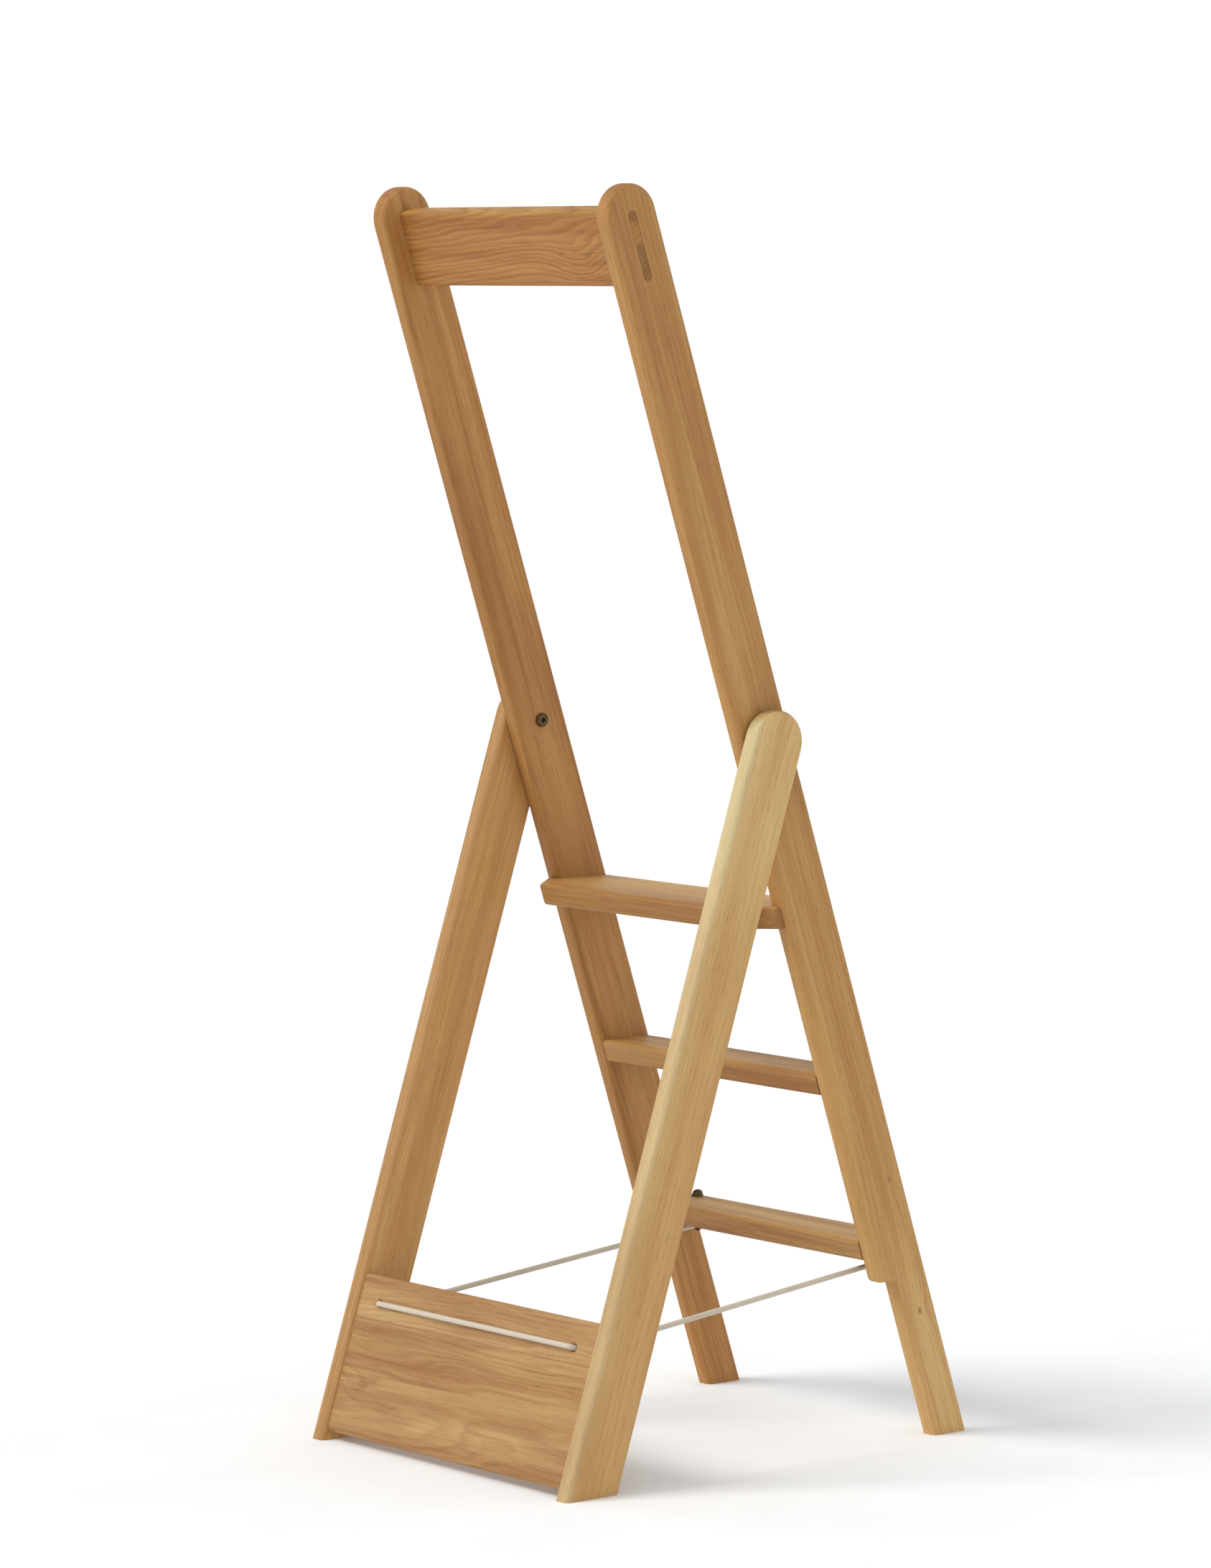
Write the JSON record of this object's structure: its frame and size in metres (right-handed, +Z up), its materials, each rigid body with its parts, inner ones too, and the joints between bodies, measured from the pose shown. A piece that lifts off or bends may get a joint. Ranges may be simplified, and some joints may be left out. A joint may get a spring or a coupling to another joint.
{
  "type": "library ladder",
  "caption": "Folding wooden library ladder: a climbing frame with treads and a hand rail, hinged to a support frame and held open by a cord through its kick board.",
  "frame": {"origin": "on the floor, midway between the front and rear feet and between the sides, straight under the pivot", "axes": "+Z up, -Y towards the climbing side, +Y towards the support frame's feet, +X to the right of somebody facing the treads"},
  "size_m": [0.439, 0.572, 1.3382],
  "materials": {
    "oak": "oiled, low sheen",
    "dark_bronze": "aged, satin",
    "brass": "plain machined",
    "steel": "zinc plated",
    "cord": "matte, braided"
  },
  "bodies": {
    "climbing_frame": {"top_rail": "oak", "top_tread": "oak", "middle_tread": "oak", "bottom_tread": "oak", "stile_left": "oak", "stile_right": "oak", "top_tread_tenon_left": "oak", "top_tread_tenon_right": "oak", "middle_tread_tenon_left": "oak", "middle_tread_tenon_right": "oak", "bottom_tread_tenon_left": "oak", "bottom_tread_tenon_right": "oak", "pivot_bush_left": "brass", "pivot_bush_right": "brass", "cord_eye_left": "dark_bronze", "cord_eye_right": "dark_bronze", "cord_eye_nut_left": "dark_bronze", "cord_eye_nut_right": "dark_bronze", "cord_stop_left": "dark_bronze", "cord_stop_right": "dark_bronze", "cord_side_span_left": "cord", "cord_side_span_right": "cord"},
    "support_frame": {"kick_board": "oak", "leg_left": "oak", "leg_right": "oak", "board_tenons_left": "oak", "board_tenons_right": "oak", "pivot_sleeve_left": "steel", "pivot_sleeve_right": "steel", "pivot_bolt_left": "dark_bronze", "pivot_bolt_right": "dark_bronze", "pivot_washer_left": "steel", "pivot_washer_right": "steel", "cord_rear_span": "cord"}
  },
  "joints": [
    {"name": "fold", "type": "hinge", "parent": "climbing_frame", "child": "support_frame", "pos_m": [0, 0, 0.762], "axis": [-1, 0, 0], "range_deg": [0, 36.5], "deforming": ["cord_side_span_left", "cord_side_span_right"]}
  ]
}
